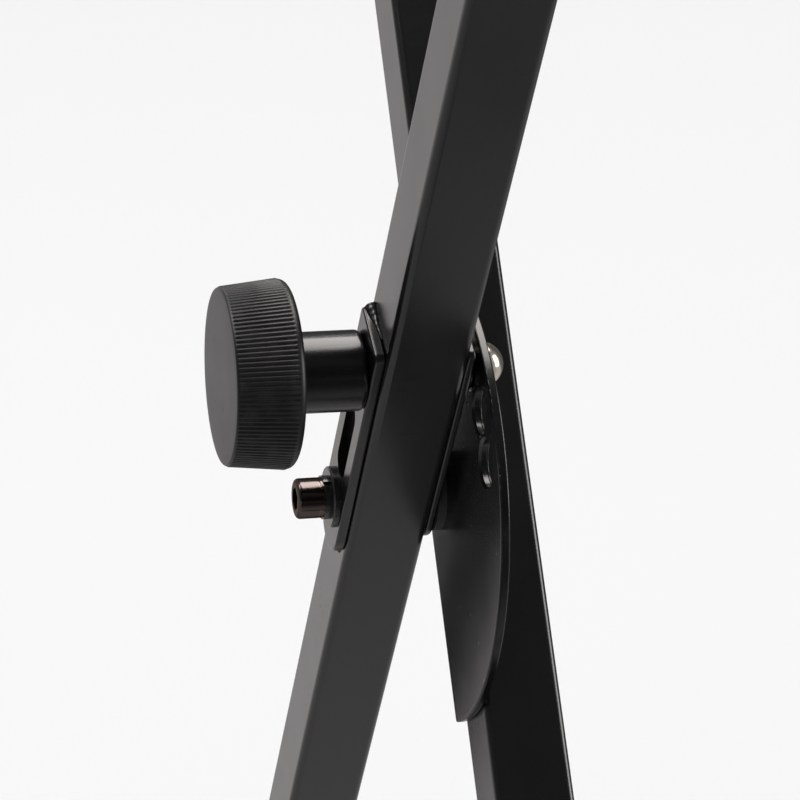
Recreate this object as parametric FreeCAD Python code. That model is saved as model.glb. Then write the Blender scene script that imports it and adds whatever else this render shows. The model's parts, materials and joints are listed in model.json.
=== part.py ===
import FreeCAD, Part
import math
import os

# Single-X keyboard stand, millimetres. Z is up from the floor, X runs along the width of the stand,
# the knob side faces -Y. The pivot axis runs along Y above the origin.
# Each leg is drawn upright with the pivot at the origin and is then leaned to its place.

# Legs
tube_size = 30.0            # square tube, outside
tube_wall = 1.5
tube_corner = 3.0           # outside corner radius
leg_reach = 500.0           # pivot to the centre of each cross bar
folded_opening = 4.0        # degrees left between the folded legs, room for the sleeves

# Pivot screw and the plates that it clamps
bolt_radius = 5.0
bolt_tail = 1.0             # screw past the nut
head_radius = 7.7
head_height = 10.0
head_round = 1.5            # outer rim
head_lip = 1.1              # plain rim at the foot of the head
head_groove_width = 0.5
head_groove_depth = 0.3
socket_flats = 8.0
socket_depth = 5.0
split_washer_radius = 8.3
split_washer_thick = 2.5
split_washer_gap = 1.6
flat_washer_radius = 11.6
flat_washer_thick = 2.5
washer_chamfer = 0.5
rear_washer_radius = 10.0
rear_washer_thick = 2.0
nut_flats = 16.0
nut_height = 8.0
nut_collar_radius = 7.4
nut_collar_height = 2.2
bush_radius = 8.0
rear_bush_length = 12.0     # leaves room for the nut inside the rear leg
spacer_radius = 15.0
spacer_thick = 3.2
bolt_running_gap = 0.06     # radial, moving pieces that turn on the screw
bolt_hole_gap = 0.4         # radial, pieces that only let the screw through
washer_hole_gap = 0.25
access_radius = 11.2        # hole behind the nut, for a socket
access_plug_gap = 0.15
access_plug_lip = 0.7       # the plug's inner rim beyond the hole
access_plug_rim = 1.2
access_plug_hollow = 9.6

# Plates welded on the front leg
plate_width = 26.5
plate_corner = 2.5
plate_edge = 1.0            # rounding along the outline
front_plate_thick = 4.0
front_plate_head = 20.5     # past the pin, along the leg
front_plate_foot = 25.0
back_plate_thick = 3.0
back_plate_head = 20.0
back_plate_foot = 19.0
slot_width = 12.0
slot_start = 14.5
slot_to_pin = 18.0

# Lock plate welded on the rear leg
disc_radius = 88.0
disc_thick = 3.5
disc_rim = 7.3              # metal outside the lock holes
lock_hole_web = 2.33        # metal between two lock holes
closing_stops = 4           # holes passed from this setting to the folded one
opening_stops = 2           # holes passed from this setting to the lowest one
lock_hole_gap = 0.5         # radial
lock_hole_chamfer = 0.9
edge_round = 0.8

# Spring-loaded pull pin
pin_radius = 8.2
pin_nose_radius = 8.4
pin_beyond_disc = 9.2
pin_guide_gap = 0.08
pin_hole_gap = 0.7
collar_radius = 11.2
collar_thick = 3.0
shank_radius = 4.0
shank_guide_gap = 0.06
barrel_radius = 14.7
barrel_bore = 12.0
barrel_length = 42.0
barrel_end_wall = 3.0
barrel_round = 1.5
barrel_foot_round = 2.2     # where it stands on the plate
guide_radius = 6.5
spring_wire = 0.7           # wire radius
spring_radius = 8.4         # to the middle of the wire
spring_turns = 8
spring_end_gap = 0.15

# Knob
knob_back_stand = 26.7      # knob's back to the front plate
knob_length = 24.8
knob_face_radius = 31.7
knob_back_radius = 34.2     # the side widens towards the leg
knob_face_round = 0.8
knob_back_round = 3.0
knob_ribs = 118
knob_rib_height = 0.45
knob_rib_root = 0.3         # how deep a rib is sunk in the side
knob_rib_inset = 0.3        # bare side beyond each end of the ribs
knob_recess_gap = 0.6       # radial, round the barrel
knob_recess_room = 1.5      # beyond the barrel's end
insert_radius = 8.0
insert_length = 4.6
press_gap = 0.02

# Cross bars and what joins them to the legs
bar_radius = 12.7
bar_wall = 1.5
bar_length = 420.0
saddle_web = 5.0            # metal between the leg's end and the bar
saddle_length = 66.0
saddle_lip = 4.0            # the saddle's sides stop this far short of the bar's middle
saddle_corner = 5.0
saddle_seat_gap = 0.05
plug_depth = 24.0
plug_gap = 0.15
clamp_radius = 3.0          # M6 clamp screws
clamp_spread = 24.0
clamp_head_radius = 5.25
clamp_head_height = 3.3
clamp_socket_flats = 4.0
clamp_socket_depth = 2.0
clamp_hole_gap = 0.3
clamp_grip = 10.0           # screw length past the bar's wall
rivet_nut_radius = 4.5
rivet_nut_length = 13.0

# Rubber and plastic on the bars
foot_radius = 17.0
foot_length = 46.0
foot_wall = 4.0             # beyond the bar's end
foot_chamfer = 2.0
sole_drop = 16.4            # flat sole below the bar's middle
sole_groove = 1.2
sole_grooves = 4
grip_radius = 16.0
grip_inset = 12.0           # from the bar's end
grip_length = 120.0
grip_chamfer = 1.5
grip_rise = 15.2            # flat rest above the bar's middle
end_cap_radius = 13.4
end_cap_thick = 4.0
end_cap_round = 1.6
end_cap_depth = 16.0
rubber_gap = 0.05

# Depths of the stack, from the front leg's front face to the rear leg's back face
stack = 2 * tube_size + back_plate_thick + spacer_thick + disc_thick
front_y = -stack / 2
front_back_y = front_y + tube_size
spacer_y = front_back_y + back_plate_thick
disc_y = spacer_y + spacer_thick
rear_y = disc_y + disc_thick
rear_back_y = rear_y + tube_size
plate_y = front_y - front_plate_thick
split_washer_y = plate_y - flat_washer_thick
head_y = split_washer_y - split_washer_thick
rear_washer_y = rear_y + tube_wall + rear_bush_length
nut_y = rear_washer_y + rear_washer_thick
nut_end_y = nut_y + nut_height + nut_collar_height
front_middle = front_y + tube_size / 2
rear_middle = rear_y + tube_size / 2
lock_hole_radius = pin_radius + lock_hole_gap
pin_reach = disc_radius - disc_rim - lock_hole_radius     # pivot to pin, along the leg
lock_step = 2 * lock_hole_radius + lock_hole_web
lock_pitch = 2 * math.degrees(math.asin(lock_step / 2 / pin_reach))
half_opening = (folded_opening + closing_stops * lock_pitch) / 2     # lean of each leg at this setting
front_plate_top = pin_reach + front_plate_head
back_plate_top = pin_reach + back_plate_head
slot_end = pin_reach - slot_to_pin
pivot_height = leg_reach * math.cos(math.radians(half_opening)) + sole_drop
leg_end = leg_reach - bar_radius - saddle_web
barrel_y = plate_y - barrel_length

along_y = FreeCAD.Vector(0, 1, 0)


def cylinder_y(radius, y0, y1, z=0.0, x=0.0):
    return Part.makeCylinder(radius, y1 - y0, FreeCAD.Vector(x, y0, z), along_y)


def cylinder_z(radius, z0, z1, x=0.0, y=0.0):
    return Part.makeCylinder(radius, z1 - z0, FreeCAD.Vector(x, y, z0))


def ring_y(outer, inner, y0, y1, z=0.0):
    return cylinder_y(outer, y0, y1, z).cut(cylinder_y(inner, y0, y1, z))


def block(x0, x1, y0, y1, z0, z1):
    return Part.makeBox(x1 - x0, y1 - y0, z1 - z0, FreeCAD.Vector(x0, y0, z0))


def edges_along(shape, axis):
    picked = []
    for edge in shape.Edges:
        if abs(abs(edge.tangentAt(edge.FirstParameter).dot(axis)) - 1) < 1e-6 and len(edge.Vertexes) == 2:
            picked.append(edge)
    return picked


def rim_edges(shape, y, radius):
    picked = []
    for edge in shape.Edges:
        if isinstance(edge.Curve, Part.Circle) and abs(edge.Curve.Radius - radius) < 1e-6:
            if abs(edge.Curve.Center.y - y) < 1e-6:
                picked.append(edge)
    return picked


def outline_edges(shape, y):
    picked = []
    for edge in shape.Edges:
        if abs(edge.BoundBox.YMin - y) < 1e-6 and edge.BoundBox.YLength < 1e-6:
            picked.append(edge)
    return picked


def rounded_bar(width, depth, radius, y_middle, z0, z1):
    bar = block(-width / 2, width / 2, y_middle - depth / 2, y_middle + depth / 2, z0, z1)
    return bar.makeFillet(radius, edges_along(bar, FreeCAD.Vector(0, 0, 1)))


def hexagon_prism(flats, start, direction, length):
    corner = flats / math.sqrt(3)
    turn = FreeCAD.Rotation(FreeCAD.Vector(0, 0, 1), direction)
    points = []
    for step in range(7):
        angle = math.radians(60 * step)
        flat = FreeCAD.Vector(corner * math.cos(angle), corner * math.sin(angle), 0)
        points.append(start + turn.multVec(flat))
    return Part.Face(Part.makePolygon(points)).extrude(direction * length)


def lean(shape, degrees):
    placed = shape.copy()
    placed.rotate(FreeCAD.Vector(0, 0, 0), along_y, degrees)
    placed.translate(FreeCAD.Vector(0, 0, pivot_height))
    return placed


def at_bar(shape, degrees, end):
    # a piece drawn level round the bar's axis, carried to the bar at one end of a leg
    reach = end * leg_reach
    angle = math.radians(degrees)
    placed = shape.copy()
    placed.translate(FreeCAD.Vector(reach * math.sin(angle), 0, pivot_height + reach * math.cos(angle)))
    return placed


# Leg tubes

def leg_tube(y_middle):
    outer = rounded_bar(tube_size, tube_size, tube_corner, y_middle, -leg_end, leg_end)
    inside = tube_size - 2 * tube_wall
    hollow = rounded_bar(inside, inside, tube_corner - tube_wall, y_middle, -leg_end, leg_end)
    half = tube_size / 2
    pivot_hole = cylinder_y(bolt_radius + bolt_hole_gap, y_middle - half, y_middle + half)
    return outer.cut(hollow).cut(pivot_hole)


def front_leg():
    pin_hole = cylinder_y(pin_radius + pin_hole_gap, front_y, front_back_y, pin_reach)
    return leg_tube(front_middle).cut(pin_hole)


def lock_angle(stop):
    # place of a lock hole round the pivot, from the rear leg's own direction
    return math.radians(2 * half_opening - stop * lock_pitch)


def lock_hole(stop, radius, y0, y1):
    angle = lock_angle(stop)
    return cylinder_y(radius, y0, y1, pin_reach * math.cos(angle), pin_reach * math.sin(angle))


def rear_leg():
    folded_hole = lock_hole(closing_stops, lock_hole_radius, rear_y, rear_y + pin_beyond_disc)
    access_hole = cylinder_y(access_radius, rear_back_y - tube_wall, rear_back_y)
    return leg_tube(rear_middle).cut(folded_hole).cut(access_hole)


def access_plug():
    # pushed into the hole from behind, flush with the leg, with a rim that springs open inside
    inner_y = rear_back_y - tube_wall
    face = cylinder_y(access_radius - access_plug_gap, inner_y, rear_back_y)
    rim = ring_y(access_radius + access_plug_lip, access_plug_hollow, inner_y - access_plug_rim, inner_y)
    return face.fuse(rim)


# Plates

def leg_plate(top, foot, y0, y1):
    half = plate_width / 2
    plate = block(-half, half, y0, y1, half - foot, top)
    upper = [edge for edge in edges_along(plate, along_y) if edge.Vertexes[0].Z > 0]
    plate = plate.makeFillet(plate_corner, upper)
    plate = plate.fuse(cylinder_y(half, y0, y1, half - foot)).removeSplitter()
    plate = plate.makeFillet(plate_edge, outline_edges(plate, y0) + outline_edges(plate, y1))
    plate = plate.cut(cylinder_y(bolt_radius + bolt_hole_gap, y0, y1))
    return plate.cut(cylinder_y(pin_radius + pin_guide_gap, y0, y1, pin_reach))


def front_lock_plate():
    plate = leg_plate(front_plate_top, front_plate_foot, plate_y, front_y)
    half = slot_width / 2
    slot = block(-half, half, plate_y, front_y, slot_start + half, slot_end - half)
    slot = slot.fuse(cylinder_y(half, plate_y, front_y, slot_start + half))
    slot = slot.fuse(cylinder_y(half, plate_y, front_y, slot_end - half))
    return plate.cut(slot)


def lock_disc():
    # a round plate whose straight edge lies along the far side of the rear leg
    disc = cylinder_y(disc_radius, disc_y, rear_y)
    disc = disc.cut(block(-disc_radius, -tube_size / 2, disc_y, rear_y, -disc_radius, disc_radius))
    rims = rim_edges(disc, disc_y, disc_radius) + rim_edges(disc, rear_y, disc_radius)
    disc = disc.makeFillet(edge_round, rims)
    disc = disc.cut(cylinder_y(bolt_radius + bolt_hole_gap, disc_y, rear_y))
    for stop in range(-opening_stops, closing_stops + 1):
        disc = disc.cut(lock_hole(stop, lock_hole_radius, disc_y, rear_y))
    return disc.makeChamfer(lock_hole_chamfer, rim_edges(disc, disc_y, lock_hole_radius))


# Pivot

def pivot_bolt():
    head = cylinder_y(head_radius, head_y - head_height, head_y)
    head = head.makeFillet(head_round, rim_edges(head, head_y - head_height, head_radius))
    groove_y = head_y - head_lip
    groove_floor = head_radius - head_groove_depth
    groove = ring_y(head_radius + head_groove_depth, groove_floor, groove_y - head_groove_width, groove_y)
    head = head.cut(groove)
    socket = hexagon_prism(socket_flats, FreeCAD.Vector(0, head_y - head_height, 0), along_y, socket_depth)
    shank = cylinder_y(bolt_radius, head_y, nut_end_y + bolt_tail)
    return head.cut(socket).fuse(shank)


def split_washer():
    ring = ring_y(split_washer_radius, bolt_radius + washer_hole_gap, head_y, split_washer_y)
    half = split_washer_gap / 2
    return ring.cut(block(-half, half, head_y, split_washer_y, 0, split_washer_radius))


def flat_washer():
    washer = cylinder_y(flat_washer_radius, split_washer_y, plate_y)
    washer = washer.makeChamfer(washer_chamfer, rim_edges(washer, split_washer_y, flat_washer_radius))
    return washer.cut(cylinder_y(bolt_radius + washer_hole_gap, split_washer_y, plate_y))


def pivot_nut():
    body = hexagon_prism(nut_flats, FreeCAD.Vector(0, nut_y, 0), along_y, nut_height)
    collar = cylinder_y(nut_collar_radius, nut_y + nut_height, nut_end_y)
    bore = cylinder_y(bolt_radius + press_gap, nut_y, nut_end_y)
    return body.fuse(collar).cut(bore)


def pivot_bush(leg_y, length):
    start = leg_y + tube_wall
    return ring_y(bush_radius, bolt_radius + bolt_running_gap, start, start + length)


# Pull pin

def pin_barrel():
    barrel = cylinder_y(barrel_radius, barrel_y, plate_y, pin_reach)
    barrel = barrel.makeFillet(barrel_round, rim_edges(barrel, barrel_y, barrel_radius))
    barrel = barrel.makeFillet(barrel_foot_round, rim_edges(barrel, plate_y, barrel_radius))
    barrel = barrel.cut(cylinder_y(barrel_bore, barrel_y + barrel_end_wall, plate_y, pin_reach))
    return barrel.cut(cylinder_y(guide_radius + press_gap, barrel_y, barrel_y + barrel_end_wall, pin_reach))


def barrel_guide():
    inner_y = barrel_y + barrel_end_wall
    return ring_y(guide_radius, shank_radius + shank_guide_gap, barrel_y, inner_y, pin_reach)


def lock_pin():
    tip = rear_y + pin_beyond_disc
    rise = pin_nose_radius - math.sqrt(pin_nose_radius ** 2 - pin_radius ** 2)
    middle = FreeCAD.Vector(0, tip - pin_nose_radius, pin_reach)
    nose = Part.makeSphere(pin_nose_radius, middle).common(cylinder_y(pin_radius, tip - rise, tip, pin_reach))
    body = cylinder_y(pin_radius, plate_y, tip - rise, pin_reach)
    collar = cylinder_y(collar_radius, plate_y - collar_thick, plate_y, pin_reach)
    shank = cylinder_y(shank_radius, shank_end(), plate_y - collar_thick, pin_reach)
    return nose.fuse([body, collar, shank]).removeSplitter()


def recess_floor():
    return barrel_y - knob_recess_room


def shank_end():
    return recess_floor() - insert_length + 2 * press_gap


def knob_face():
    return plate_y - knob_back_stand - knob_length


def knob_side(y):
    share = (y - knob_face()) / knob_length
    return knob_face_radius + share * (knob_back_radius - knob_face_radius)


def rib_outline(y):
    # ribs round the knob at one place along it, each a low ridge with a flat crest
    root = knob_side(y) - knob_rib_root
    crest = knob_side(y) + knob_rib_height
    pitch = 2 * math.pi / knob_ribs
    points = []
    for rib in range(knob_ribs):
        for share, radius in ((0.0, root), (0.2, crest), (0.55, crest), (0.75, root)):
            angle = (rib + share) * pitch
            points.append(FreeCAD.Vector(radius * math.cos(angle), y, pin_reach + radius * math.sin(angle)))
    return Part.makePolygon(points + points[:1])


def knob():
    face = knob_face()
    back = face + knob_length
    middle = FreeCAD.Vector(0, face, pin_reach)
    body = Part.makeCone(knob_face_radius, knob_back_radius, knob_length, middle, along_y)
    body = body.makeFillet(knob_face_round, rim_edges(body, face, knob_face_radius))
    body = body.makeFillet(knob_back_round, rim_edges(body, back, knob_back_radius))
    ribs_start = face + knob_face_round + knob_rib_inset
    ribs_end = back - knob_back_round - knob_rib_inset
    body = body.fuse(Part.makeLoft([rib_outline(ribs_start), rib_outline(ribs_end)], True, True))
    floor = recess_floor()
    body = body.cut(cylinder_y(barrel_radius + knob_recess_gap, floor, back, pin_reach))
    return body.cut(cylinder_y(insert_radius + press_gap, floor - insert_length, floor, pin_reach))


def knob_insert():
    floor = recess_floor()
    return ring_y(insert_radius, shank_radius + press_gap, floor - insert_length, floor, pin_reach)


def biarc(start, start_way, end, end_way):
    # two arcs that leave one point and reach the other in the given directions
    gap = end - start
    ways = start_way + end_way
    spread = 2 * (1 - start_way.dot(end_way))
    reach = (math.sqrt(gap.dot(ways) ** 2 + spread * gap.dot(gap)) - gap.dot(ways)) / spread
    joint = (start + start_way * reach + end - end_way * reach) * 0.5
    return [tangent_arc(start, start_way, joint), tangent_arc(end, end_way * -1, joint)]


def tangent_arc(start, way, end):
    chord = end - start
    along = chord * (1 / chord.Length)
    side = way - along * way.dot(along)
    bulge = side * (1 / side.Length) * (chord.Length / 2 * math.tan(way.getAngle(chord) / 2))
    return Part.Arc(start, (start + end) * 0.5 + bulge, end).toShape()


def pin_spring():
    start = barrel_y + barrel_end_wall + spring_end_gap + spring_wire
    end = plate_y - collar_thick - spring_end_gap - spring_wire
    halves = 2 * spring_turns
    rise = (end - start) / halves

    def place(half):
        angle = math.pi * half
        return FreeCAD.Vector(spring_radius * math.cos(angle), start + rise * half,
                              pin_reach + spring_radius * math.sin(angle))

    def way(half):
        angle = math.pi * half
        turned = FreeCAD.Vector(-math.sin(angle) * spring_radius * math.pi, rise,
                                math.cos(angle) * spring_radius * math.pi)
        return turned.normalize()

    edges = []
    for half in range(halves):
        edges += biarc(place(half), way(half), place(half + 1), way(half + 1))
    path = Part.Wire(Part.__sortEdges__(edges))
    section = Part.Wire(Part.makeCircle(spring_wire, place(0), way(0)))
    print("spring gap between turns", round(2 * rise - 2 * spring_wire, 2))
    return path.makePipeShell([section], True, False)


# Cross bars, drawn at the top of a leg; the lower end is the same turned over

def clamp_places(y_middle):
    return [y_middle - clamp_spread, y_middle + clamp_spread]


def bar_saddle(y_middle):
    saddle = rounded_bar(tube_size, saddle_length, saddle_corner, y_middle, leg_end, leg_reach - saddle_lip)
    inside = tube_size - 2 * tube_wall - 2 * plug_gap
    saddle = saddle.fuse(rounded_bar(inside, inside, tube_corner, y_middle, leg_end - plug_depth, leg_end))
    half = saddle_length / 2
    saddle = saddle.cut(cylinder_y(bar_radius + saddle_seat_gap, y_middle - half, y_middle + half, leg_reach))
    for y in clamp_places(y_middle):
        saddle = saddle.cut(cylinder_z(clamp_radius + clamp_hole_gap, leg_end, leg_reach, 0, y))
    return saddle


def cross_bar(y_middle):
    half = bar_length / 2
    bar = ring_y(bar_radius, bar_radius - bar_wall, y_middle - half, y_middle + half, leg_reach)
    for y in clamp_places(y_middle):
        bar = bar.cut(cylinder_z(rivet_nut_radius + press_gap, leg_reach - bar_radius, leg_reach, 0, y))
    return bar


def rivet_nuts(y_middle):
    half = bar_length / 2
    inside = cylinder_y(bar_radius, y_middle - half, y_middle + half, leg_reach)
    foot = leg_reach - bar_radius
    nuts = []
    for y in clamp_places(y_middle):
        nut = cylinder_z(rivet_nut_radius, foot, foot + rivet_nut_length, 0, y).common(inside)
        nuts.append(nut.cut(cylinder_z(clamp_radius + press_gap, foot, foot + rivet_nut_length, 0, y)))
    return Part.Compound(nuts)


def clamp_screws(y_middle):
    screws = []
    for y in clamp_places(y_middle):
        head = cylinder_z(clamp_head_radius, leg_end - clamp_head_height, leg_end, 0, y)
        closed = [edge for edge in head.Edges if len(edge.Vertexes) == 1]
        lower = [edge for edge in closed if edge.Vertexes[0].Z < leg_end - 1e-6]
        head = head.makeFillet(clamp_head_height / 2, lower)
        socket = hexagon_prism(clamp_socket_flats, FreeCAD.Vector(0, y, leg_end - clamp_head_height),
                               FreeCAD.Vector(0, 0, 1), clamp_socket_depth)
        shank = cylinder_z(clamp_radius, leg_end, leg_reach - bar_radius + clamp_grip, 0, y)
        screws.append(head.cut(socket).fuse(shank))
    return Part.Compound(screws)


def foot_caps(y_middle):
    # boots over the bar's ends, with a flat grooved sole
    caps = []
    for side in (-1, 1):
        end = y_middle + side * (bar_length / 2 + foot_wall)
        inner = end - side * foot_length
        low, high = min(end, inner), max(end, inner)
        boot = cylinder_y(foot_radius, low, high)
        rims = rim_edges(boot, low, foot_radius) + rim_edges(boot, high, foot_radius)
        boot = boot.makeChamfer(foot_chamfer, rims)
        boot = boot.cut(block(-foot_radius, foot_radius, low, high, -2 * foot_radius, -sole_drop))
        bore_end = end - side * foot_wall
        boot = boot.cut(cylinder_y(bar_radius + rubber_gap, min(inner, bore_end), max(inner, bore_end)))
        pitch = foot_length / (sole_grooves + 1)
        for groove in range(1, sole_grooves + 1):
            y = low + groove * pitch
            boot = boot.cut(block(-foot_radius, foot_radius, y - sole_groove, y + sole_groove,
                                  -foot_radius, sole_groove - sole_drop))
        caps.append(boot)
    return Part.Compound(caps)


def arm_grips(y_middle):
    # rubber sleeves with a flat rest on top
    grips = []
    for side in (-1, 1):
        outer = y_middle + side * (bar_length / 2 - grip_inset)
        inner = outer - side * grip_length
        low, high = min(inner, outer), max(inner, outer)
        grip = cylinder_y(grip_radius, low, high)
        rims = rim_edges(grip, low, grip_radius) + rim_edges(grip, high, grip_radius)
        grip = grip.makeChamfer(grip_chamfer, rims)
        grip = grip.cut(block(-grip_radius, grip_radius, low, high, grip_rise, 2 * grip_radius))
        grips.append(grip.cut(cylinder_y(bar_radius + rubber_gap, low, high)))
    return Part.Compound(grips)


def arm_end_caps(y_middle):
    caps = []
    for side in (-1, 1):
        mouth = y_middle + side * bar_length / 2
        outer = mouth + side * end_cap_thick
        head = cylinder_y(end_cap_radius, min(mouth, outer), max(mouth, outer))
        head = head.makeFillet(end_cap_round, rim_edges(head, outer, end_cap_radius))
        inner = mouth - side * end_cap_depth
        stem = cylinder_y(bar_radius - bar_wall - rubber_gap, min(mouth, inner), max(mouth, inner))
        caps.append(head.fuse(stem).removeSplitter())
    return Part.Compound(caps)


nodes = {}
front_lean = half_opening
rear_lean = -half_opening

front_pieces = {
    "front_leg_tube": front_leg(),
    "front_lock_plate": front_lock_plate(),
    "rear_lock_plate": leg_plate(back_plate_top, back_plate_foot, front_back_y, spacer_y),
    "pin_barrel": pin_barrel(),
    "barrel_guide": barrel_guide(),
    "front_pivot_bush": pivot_bush(front_y, tube_size - 2 * tube_wall),
    "pivot_bolt": pivot_bolt(),
    "pivot_split_washer": split_washer(),
    "pivot_flat_washer": flat_washer(),
    "pivot_spacer": ring_y(spacer_radius, bolt_radius + washer_hole_gap, spacer_y, disc_y),
    "pivot_rear_washer": ring_y(rear_washer_radius, bolt_radius + washer_hole_gap, rear_washer_y, nut_y),
    "pivot_nut": pivot_nut(),
    "lock_pin": lock_pin(),
    "pin_spring": pin_spring(),
    "knob": knob(),
    "knob_insert": knob_insert(),
}
rear_pieces = {
    "rear_leg_tube": rear_leg(),
    "lock_disc": lock_disc(),
    "rear_pivot_bush": pivot_bush(rear_y, rear_bush_length),
    "pivot_hole_plug": access_plug(),
}
for name, shape in front_pieces.items():
    nodes[name] = lean(shape, front_lean)
for name, shape in rear_pieces.items():
    nodes[name] = lean(shape, rear_lean)

for leg, degrees, y_middle in (("front", front_lean, front_middle), ("rear", rear_lean, rear_middle)):
    joint_pieces = {"saddle": bar_saddle(y_middle), "bar": cross_bar(y_middle),
                    "rivet_nuts": rivet_nuts(y_middle), "clamp_screws": clamp_screws(y_middle)}
    for end_name, turned in (("arm", 0), ("foot", 180)):
        for piece, shape in joint_pieces.items():
            nodes[leg + "_" + end_name + "_" + piece] = lean(shape, degrees + turned)
    nodes[leg + "_foot_caps"] = at_bar(foot_caps(y_middle), degrees, -1)
    nodes[leg + "_arm_grips"] = at_bar(arm_grips(y_middle), degrees, 1)
    nodes[leg + "_arm_end_caps"] = at_bar(arm_end_caps(y_middle), degrees, 1)

os.makedirs("parts", exist_ok=True)
for name, shape in nodes.items():
    if not shape.isValid():
        print("not valid:", name)
    shape.exportStep("parts/" + name + ".step")
print(len(nodes), "pieces, pivot at", round(pivot_height, 2))
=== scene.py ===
import json
import math
import bmesh
import bpy
from mathutils import Matrix, Vector, noise


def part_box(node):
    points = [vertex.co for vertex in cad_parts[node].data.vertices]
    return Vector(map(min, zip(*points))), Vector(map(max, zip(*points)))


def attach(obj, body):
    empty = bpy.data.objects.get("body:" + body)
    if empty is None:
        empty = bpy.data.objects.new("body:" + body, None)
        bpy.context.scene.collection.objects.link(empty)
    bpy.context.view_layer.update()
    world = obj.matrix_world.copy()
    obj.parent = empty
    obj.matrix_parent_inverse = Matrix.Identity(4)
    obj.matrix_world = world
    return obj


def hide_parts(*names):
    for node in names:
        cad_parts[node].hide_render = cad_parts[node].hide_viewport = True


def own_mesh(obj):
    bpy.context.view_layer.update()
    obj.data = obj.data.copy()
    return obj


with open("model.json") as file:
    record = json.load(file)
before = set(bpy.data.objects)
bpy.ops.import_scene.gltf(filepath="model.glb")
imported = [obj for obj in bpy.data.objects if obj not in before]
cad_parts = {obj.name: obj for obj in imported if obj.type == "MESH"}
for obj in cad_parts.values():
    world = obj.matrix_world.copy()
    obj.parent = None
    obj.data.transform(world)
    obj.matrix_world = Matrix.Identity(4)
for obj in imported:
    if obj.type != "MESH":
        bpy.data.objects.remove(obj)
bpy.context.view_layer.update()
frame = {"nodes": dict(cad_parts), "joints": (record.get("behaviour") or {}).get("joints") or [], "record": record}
nodes = frame["nodes"]
joints = {joint["name"]: joint for joint in frame["joints"]}
pivot = Vector(joints["fold"]["pos_m"])
mm = 0.001
fullTurn = 2 * math.pi
quarterTurn = math.pi / 2
print("frame loaded,", len(nodes), "nodes")


# camera, placed from the pivot

cameraView = {
    "offset": (1.0317, -0.2785, 0.3368),
    "azimuth": 76.069,
    "pitch": 16.541,
    "roll": 0.949,
    "lens": 132.62,
    "sensor": 36.0,
    "shift": (0.0291, 0.0509),
    "clipEnd": 60.0,
}


def addCamera(view):
    data = bpy.data.cameras.new("photoCamera")
    data.lens = view["lens"]
    data.sensor_width = view["sensor"]
    data.shift_x, data.shift_y = view["shift"]
    data.clip_end = view["clipEnd"]
    camera = bpy.data.objects.new("photoCamera", data)
    bpy.context.scene.collection.objects.link(camera)
    place = Matrix.Translation(pivot + Vector(view["offset"]))
    turn = Matrix.Rotation(math.radians(view["azimuth"]), 4, "Z")
    tip = Matrix.Rotation(math.radians(90 - view["pitch"]), 4, "X")
    roll = Matrix.Rotation(math.radians(view["roll"]), 4, "Z")
    camera.matrix_world = place @ turn @ tip @ roll
    bpy.context.scene.camera = camera


addCamera(cameraView)
print("camera placed")


# node helpers

def addNode(tree, kind, **settings):
    node = tree.nodes.new(kind)
    for key, value in settings.items():
        setattr(node, key, value)
    return node


def feed(tree, socket, value):
    # colours and numbers are set, outputs are linked
    if isinstance(value, tuple):
        socket.default_value = (*value, 1.0)
    elif isinstance(value, (int, float)):
        socket.default_value = value
    else:
        tree.links.new(value, socket)


def mathNode(tree, operation, *values):
    node = addNode(tree, "ShaderNodeMath", operation=operation)
    for index, value in enumerate(values):
        feed(tree, node.inputs[index], value)
    return node.outputs[0]


def rangeNode(tree, value, fade, low=0.0, high=1.0):
    # low before the fade, high after it
    node = addNode(tree, "ShaderNodeMapRange", interpolation_type="SMOOTHSTEP")
    numbers = {"Value": value, "From Min": fade[0], "From Max": fade[1], "To Min": low, "To Max": high}
    for label, number in numbers.items():
        feed(tree, node.inputs[label], number)
    return node.outputs["Result"]


def noiseNode(tree, place, scale, detail, rough=0.5):
    node = addNode(tree, "ShaderNodeTexNoise")
    for label, value in (("Vector", place), ("Scale", scale), ("Detail", detail), ("Roughness", rough)):
        feed(tree, node.inputs[label], value)
    return node.outputs["Fac"]


def splitPlace(tree, place):
    node = addNode(tree, "ShaderNodeSeparateXYZ")
    tree.links.new(place, node.inputs["Vector"])
    return node.outputs


def newGroup(name, inputs, outputs):
    # every socket is a plain number
    group = bpy.data.node_groups.new(name, "ShaderNodeTree")
    for label, value in inputs.items():
        socket = group.interface.new_socket(name=label, in_out="INPUT", socket_type="NodeSocketFloat")
        socket.default_value = value
    for label in outputs:
        group.interface.new_socket(name=label, in_out="OUTPUT", socket_type="NodeSocketFloat")
    groupIn = group.nodes.new("NodeGroupInput")
    groupOut = group.nodes.new("NodeGroupOutput")
    return group, groupIn.outputs, groupOut.inputs


# powder and plastic grain, coarse with a finer one on it

grainEffect = {
    "inputs": {"Scale": 900.0, "Fine Scale": 4000.0, "Mix": 0.4},
    "detail": 2.0,
    "fineDetail": 3.0,
}


def makeGrainGroup(effect):
    group, given, made = newGroup("surfaceGrain", effect["inputs"], ("Height", "Fine"))
    place = addNode(group, "ShaderNodeTexCoord").outputs["Object"]
    coarse = noiseNode(group, place, given["Scale"], effect["detail"])
    fine = noiseNode(group, place, given["Fine Scale"], effect["fineDetail"])
    part = mathNode(group, "MULTIPLY", fine, given["Mix"])
    group.links.new(mathNode(group, "ADD", coarse, part), made["Height"])
    group.links.new(fine, made["Fine"])
    return group


# smudges and fine scratches from handling

handlingEffect = {
    "inputs": {"Scale": 22.0, "Scratch Scale": 260.0},
    "smudgeDetail": 5.0,
    "smudgeRough": 0.62,
    "smudgeFade": (0.35, 0.68),
    "scratchTurn": (0.4, 0.9, 0.3),
    "scratchStretch": (1.0, 0.06, 1.0),
    "scratchDetail": 2.0,
    "scratchFade": (0.66, 0.74),
}


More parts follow.
